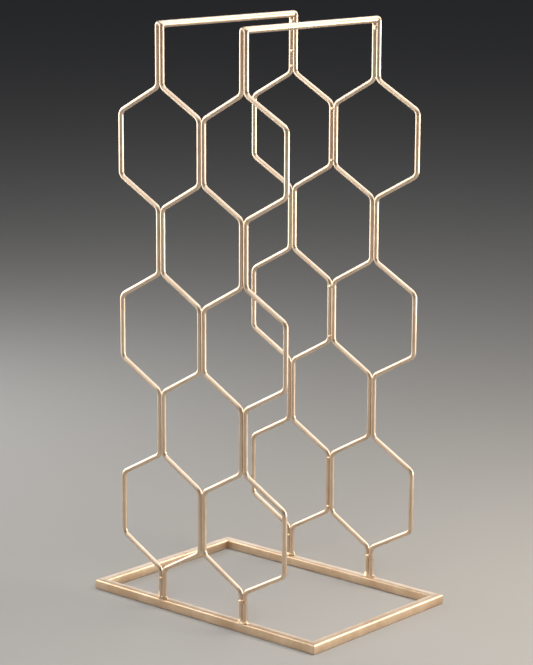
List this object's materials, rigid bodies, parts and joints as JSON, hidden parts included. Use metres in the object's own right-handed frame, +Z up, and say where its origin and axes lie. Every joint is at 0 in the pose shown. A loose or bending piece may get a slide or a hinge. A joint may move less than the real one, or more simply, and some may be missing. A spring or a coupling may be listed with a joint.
{
  "type": "wine rack",
  "caption": "Free-standing honeycomb wire wine rack: bent wire cells front and rear, two top bars and a square tube base, welded rigid.",
  "frame": {"origin": "on the floor, at the centre of the base frame's footprint", "axes": "+Z up, +X to the right and +Y to the rear, so bottles lie along Y"},
  "size_m": [0.3, 0.205, 0.596],
  "materials": {
    "cell_wire": "satin champagne-gold metallic paint",
    "top_bar": "satin champagne-gold metallic paint",
    "base_tube": "satin champagne-gold metallic paint",
    "weld_bead": "satin champagne-gold metallic paint over weld metal"
  },
  "bodies": {
    "root": {"base_front_tube": "base_tube", "base_left_tube": "base_tube", "base_rear_tube": "base_tube", "base_right_tube": "base_tube", "front_left_bar_weld": "weld_bead", "front_left_cell_wire": "cell_wire", "front_left_foot_inner_weld": "weld_bead", "front_left_foot_lower_weld": "weld_bead", "front_left_foot_outer_weld": "weld_bead", "front_left_foot_upper_weld": "weld_bead", "front_left_neck_lower_weld": "weld_bead", "front_left_neck_upper_weld": "weld_bead", "front_lower_joint_bottom_weld": "weld_bead", "front_lower_joint_top_weld": "weld_bead", "front_middle_joint_bottom_weld": "weld_bead", "front_middle_joint_top_weld": "weld_bead", "front_right_bar_weld": "weld_bead", "front_right_cell_wire": "cell_wire", "front_right_foot_inner_weld": "weld_bead", "front_right_foot_lower_weld": "weld_bead", "front_right_foot_outer_weld": "weld_bead", "front_right_foot_upper_weld": "weld_bead", "front_upper_joint_bottom_weld": "weld_bead", "front_upper_joint_top_weld": "weld_bead", "left_top_bar": "top_bar", "rear_left_bar_weld": "weld_bead", "rear_left_cell_wire": "cell_wire", "rear_left_foot_inner_weld": "weld_bead", "rear_left_foot_lower_weld": "weld_bead", "rear_left_foot_outer_weld": "weld_bead", "rear_left_foot_upper_weld": "weld_bead", "rear_left_neck_lower_weld": "weld_bead", "rear_left_neck_upper_weld": "weld_bead", "rear_lower_joint_bottom_weld": "weld_bead", "rear_lower_joint_top_weld": "weld_bead", "rear_middle_joint_bottom_weld": "weld_bead", "rear_middle_joint_top_weld": "weld_bead", "rear_right_bar_weld": "weld_bead", "rear_right_cell_wire": "cell_wire", "rear_right_foot_inner_weld": "weld_bead", "rear_right_foot_lower_weld": "weld_bead", "rear_right_foot_outer_weld": "weld_bead", "rear_right_foot_upper_weld": "weld_bead", "rear_upper_joint_bottom_weld": "weld_bead", "rear_upper_joint_top_weld": "weld_bead", "right_top_bar": "top_bar"}
  },
  "joints": []
}
